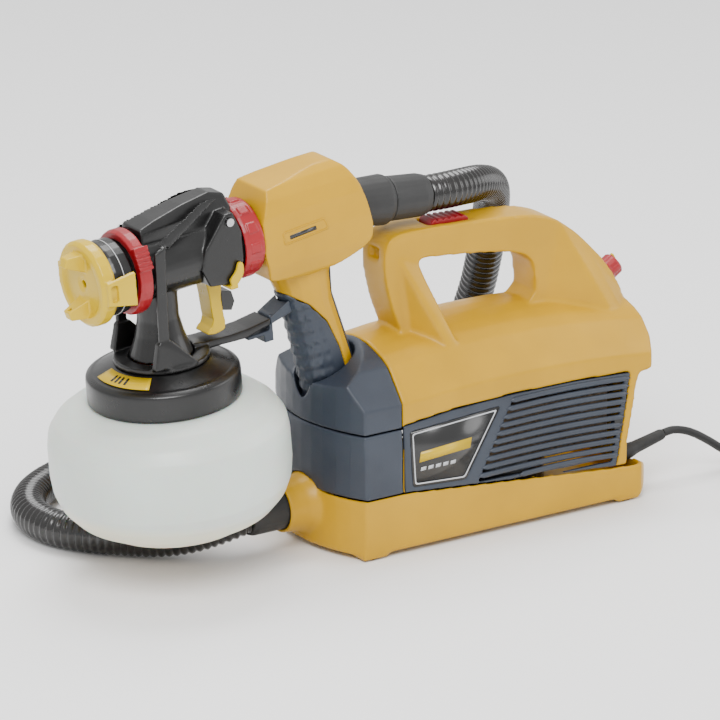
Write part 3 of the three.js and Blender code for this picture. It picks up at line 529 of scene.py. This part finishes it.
def side_frame(outer, inner, hand, height):
    """A raised border between two outlines with the same number of corners."""
    bm = bmesh.new()
    loops = []
    for outline, depth in ((outer, 0.0), (outer, height), (inner, height), (inner, 0.0)):
        loops.append([bm.verts.new(at(x, hand * (side_face(z) + depth), z)) for x, z in outline])
    for a, b in zip(loops, loops[1:] + loops[:1]):
        for i in range(len(a)):
            j = (i + 1) % len(a)
            bm.faces.new((a[i], a[j], b[j], b[i]))
    return bm


def slanted(x, z, width, height, lean):
    """A bar on the label: it climbs to the rear as the label does, and its ends lean."""
    climb = LABEL_CLIMB * width
    return [(x, z), (x + width, z + climb), (x + width + lean, z + climb + height), (x + lean, z + height)]


def make_side(side, hand):
    body = f"{side}_panel"
    softened(f"vent_panel_shell_{side}", [f"vent_panel_{side}"], 0.9, 3, 0.4)
    ribs = [vent_rib(hand, (i + 0.05) / VENT_RIBS) for i in range(VENT_RIBS)]
    new_piece(f"louvres_{side}", joined(ribs), SLATE, body)
    corners = rounded_profile(LABEL, 2.5)
    new_piece(f"label_{side}", side_slab(corners, hand, -1.0, 0.0), PRINT, body,
              [f"label_plate_{side}"])
    outer, inner = (rounded_profile(inset(LABEL, edge), 2) for edge in (1.6, 2.6))
    border = side_frame(outer, inner, hand, 0.12)
    new_piece(f"label_border_{side}", border, SILVER, body)
    bars = [side_slab(slanted(45, 67, 44, 7.5, 1.5), hand, -0.2, 0.12)]
    new_piece(f"label_bar_{side}", joined(bars), LEMON, body)
    ticks = [side_slab(slanted(46 + 6.4 * i, 60.4, 4.4, 2.6, 0.6), hand, -0.2, 0.12) for i in range(5)]
    new_piece(f"label_ticks_{side}", joined(ticks), SILVER, body)
    softened(f"catch_{side}", [f"panel_catch_{side}"], 0.5, 2, 0.6)


# ---------------------------------------------------------------- the gun
CUP_PROFILE = [
    (50.8, -86.4), (50.8, -99.9), (57, -100.2), (69, -105), (79, -112.5), (84.5, -121), (86, -131),
    (86, -152),
    (84.6, -164), (80, -175), (71, -185), (60, -190.6), (55, -192), (53, -195), (51.2, -194.4), (0.5, -193.4),
    (0.5, -191.4), (58, -188.4), (69, -183), (77.8, -173.6), (82.4, -163), (83.8, -152), (83.8, -131),
    (82.4, -122),
    (77.4, -114.4), (68, -107.2), (56, -102.4), (48.6, -101.4), (48.6, -86.4),
]
LID_PROFILE = [
    (23.4, -72), (34, -72), (36, -72.8), (44, -76), (49, -78), (51, -78.2), (54.6, -80.4), (55, -83),
    (55, -98.8),
    (54.2, -99.6), (52.6, -99.6), (52.6, -84), (20, -84), (20, -72),
]


def at_cup():
    return GUN_FRAME @ Matrix.Translation((CUP_X, 0, 0))


def make_cup_and_lid():
    cup = lathe(rounded_profile(CUP_PROFILE, 1.8), at_cup(), 128)
    new_piece("cup_shell", cup, MILKY, "cup", ["paint_cup"])
    lid = lathe(rounded_profile(LID_PROFILE, 1.4), at_cup(), 128)
    new_piece("lid_shell", lid, BLACK, "gun", ["lid"])
    make_lid_label()


def cone_patch(inner, outer, start, end, lift, thickness=0.35, steps=16):
    """A patch on the lid's sloping top between two radii and two angles in degrees."""
    slope = lambda r: -72.5 - (r - 37) * 0.4
    rings = []
    for i in range(steps + 1):
        a = math.radians(start + (end - start) * i / steps)
        section = [(inner, lift), (outer, lift), (outer, lift + thickness), (inner, lift + thickness)]
        turned = [Vector((r * math.cos(a), r * math.sin(a), slope(r) + up)) for r, up in section]
        rings.append([at_cup() @ point for point in turned])
    return rings_mesh(rings, caps=True)


def make_lid_label():
    label = cone_patch(37, 48, 165, 226, 0.0)
    new_piece("lid_sticker", label, LEMON, "gun", ["lid_label"])
    marks = [cone_patch(39.5, 45.5, a, a + 2.4, 0.3) for a in (184, 189, 194, 200)]
    new_piece("lid_marks", joined(marks), PRINT, "gun")


def ripple(piece, where, pitch, height, reach):
    """Moves a piece's skin in and out in bands along a frame's Z axis, fading out towards the rear."""
    inverse = where.inverted()
    mesh = piece.data
    moved = []
    for vertex in mesh.vertices:
        x, _, z = inverse @ vertex.co
        fade = max(0.0, min(1.0, (reach - x) / 12))
        wave = 0.5 - 0.5 * math.cos(2 * math.pi * z / pitch)
        moved.append(vertex.co + vertex.normal * (height / 1000) * (wave - 0.5) * fade)
    for vertex, place in zip(mesh.vertices, moved):
        vertex.co = place


MARK = [(11, -6), (10, 4), (46, 6), (49, -3)]


def laid_on(piece, hand, outlines, depths):
    """Rings of points on a piece's side: one for each outline of (x, z) and its depth above the skin."""
    mesh = piece.data
    skin = BVHTree.FromPolygons([v.co for v in mesh.vertices], [p.vertices for p in mesh.polygons])
    rings = []
    for outline, depth in zip(outlines, depths):
        ring = []
        for x, z in outline:
            hit = skin.ray_cast(GUN_FRAME @ Vector((x, hand * 80, z)), Vector((0, -hand, 0)))[0]
            ring.append(hit + Vector((0, hand * depth / 1000, 0)))
        rings.append(ring)
    return rings


def make_marks(shell, side, hand):
    outer, inner = rounded_profile(MARK, 2), rounded_profile(inset(MARK, 1.0), 1.6)
    rings = laid_on(shell, hand, [outer, outer, inner, inner], [-0.4, 0.4, 0.4, -0.4])
    border = rings_mesh(rings, closed=True)
    new_piece(f"gun_mark_border_{side}", border, YELLOW, "gun")
    bar = rounded_profile([(16, -2.6), (15.6, 0.4), (38, 2.0), (38.6, -1.0)], 0.6)
    block = rings_mesh(laid_on(shell, hand, [bar, bar], [-0.3, 0.12]), caps=True)
    new_piece(f"gun_mark_bar_{side}", block, PRINT, "gun")


def make_gun():
    shell = softened("rear_shell", ["gun_rear_shell"], 0.9, 8, 0.4)
    make_marks(shell, "near", -1)
    make_marks(shell, "far", 1)
    front_grip = softened("front_grip", ["grip_front_insert"], 0.7, 4, 0.6)
    ripple(front_grip, GRIP_FRAME, 9.5, 1.1, 2)
    softened("rear_grip", ["grip_rear_insert"], 0.7, 4, 0.5)
    softened("front_body_shell", ["front_body"], 0.7, 14, 0.4)
    softened("guard", ["trigger_guard"], 0.65, 14, 0.4)
    softened("hanging_hook", ["hook_arm"], 0.55, 6, 0.5)
    softened("trigger_lever", ["trigger"], 0.55, 5, 0.5)
    softened("lock_ring", ["locking_ring"], 0.55, 3, 0.5)
    softened("spray_width_ring", ["width_ring"], 0.55, 3, 0.5)
    softened("nozzle_nut", ["nozzle_ring"], 0.6, 3, 0.5)
    softened("spray_cap", ["air_cap"], 0.6, 4, 0.5)
    softened("swivel_sleeve", ["hose_swivel"], 0.8, 3, 0.5)
    softened("cuff_sleeve", ["hose_gun_cuff"], 0.8, 3, 0.5)
    softened("base_sleeve", ["hose_base_cuff"], 0.8, 3, 0.5)
    silver_line = lathe([(27.2, -122.4), (27.5, -122.2), (27.5, -121.8), (27.2, -121.6)], GUN_FRAME, 96, "x")
    new_piece("nozzle_line", silver_line, SILVER, "gun")


def make_floor():
    bm = bmesh.new()
    bmesh.ops.create_grid(bm, x_segments=8, y_segments=8, size=4)
    mesh = bpy.data.meshes.new("floor")
    bm.to_mesh(mesh)
    bm.free()
    floor = bpy.data.objects.new("floor", mesh)
    bpy.context.collection.objects.link(floor)
    paint(floor, surface("floor", (0.86, 0.86, 0.86), (0.88, 0.88, 0.88), (0.6, 0.7), 60, 0.02, patch=1))


make_camera()
make_hose()
make_lead()
for node, piece in frame["nodes"].items():
    paint(piece, SLOT_LOOK[SLOT_OF[node]])
make_studio()
make_unit()
make_side("near", -1)
make_side("far", 1)
make_gun()
make_cup_and_lid()


make_floor()
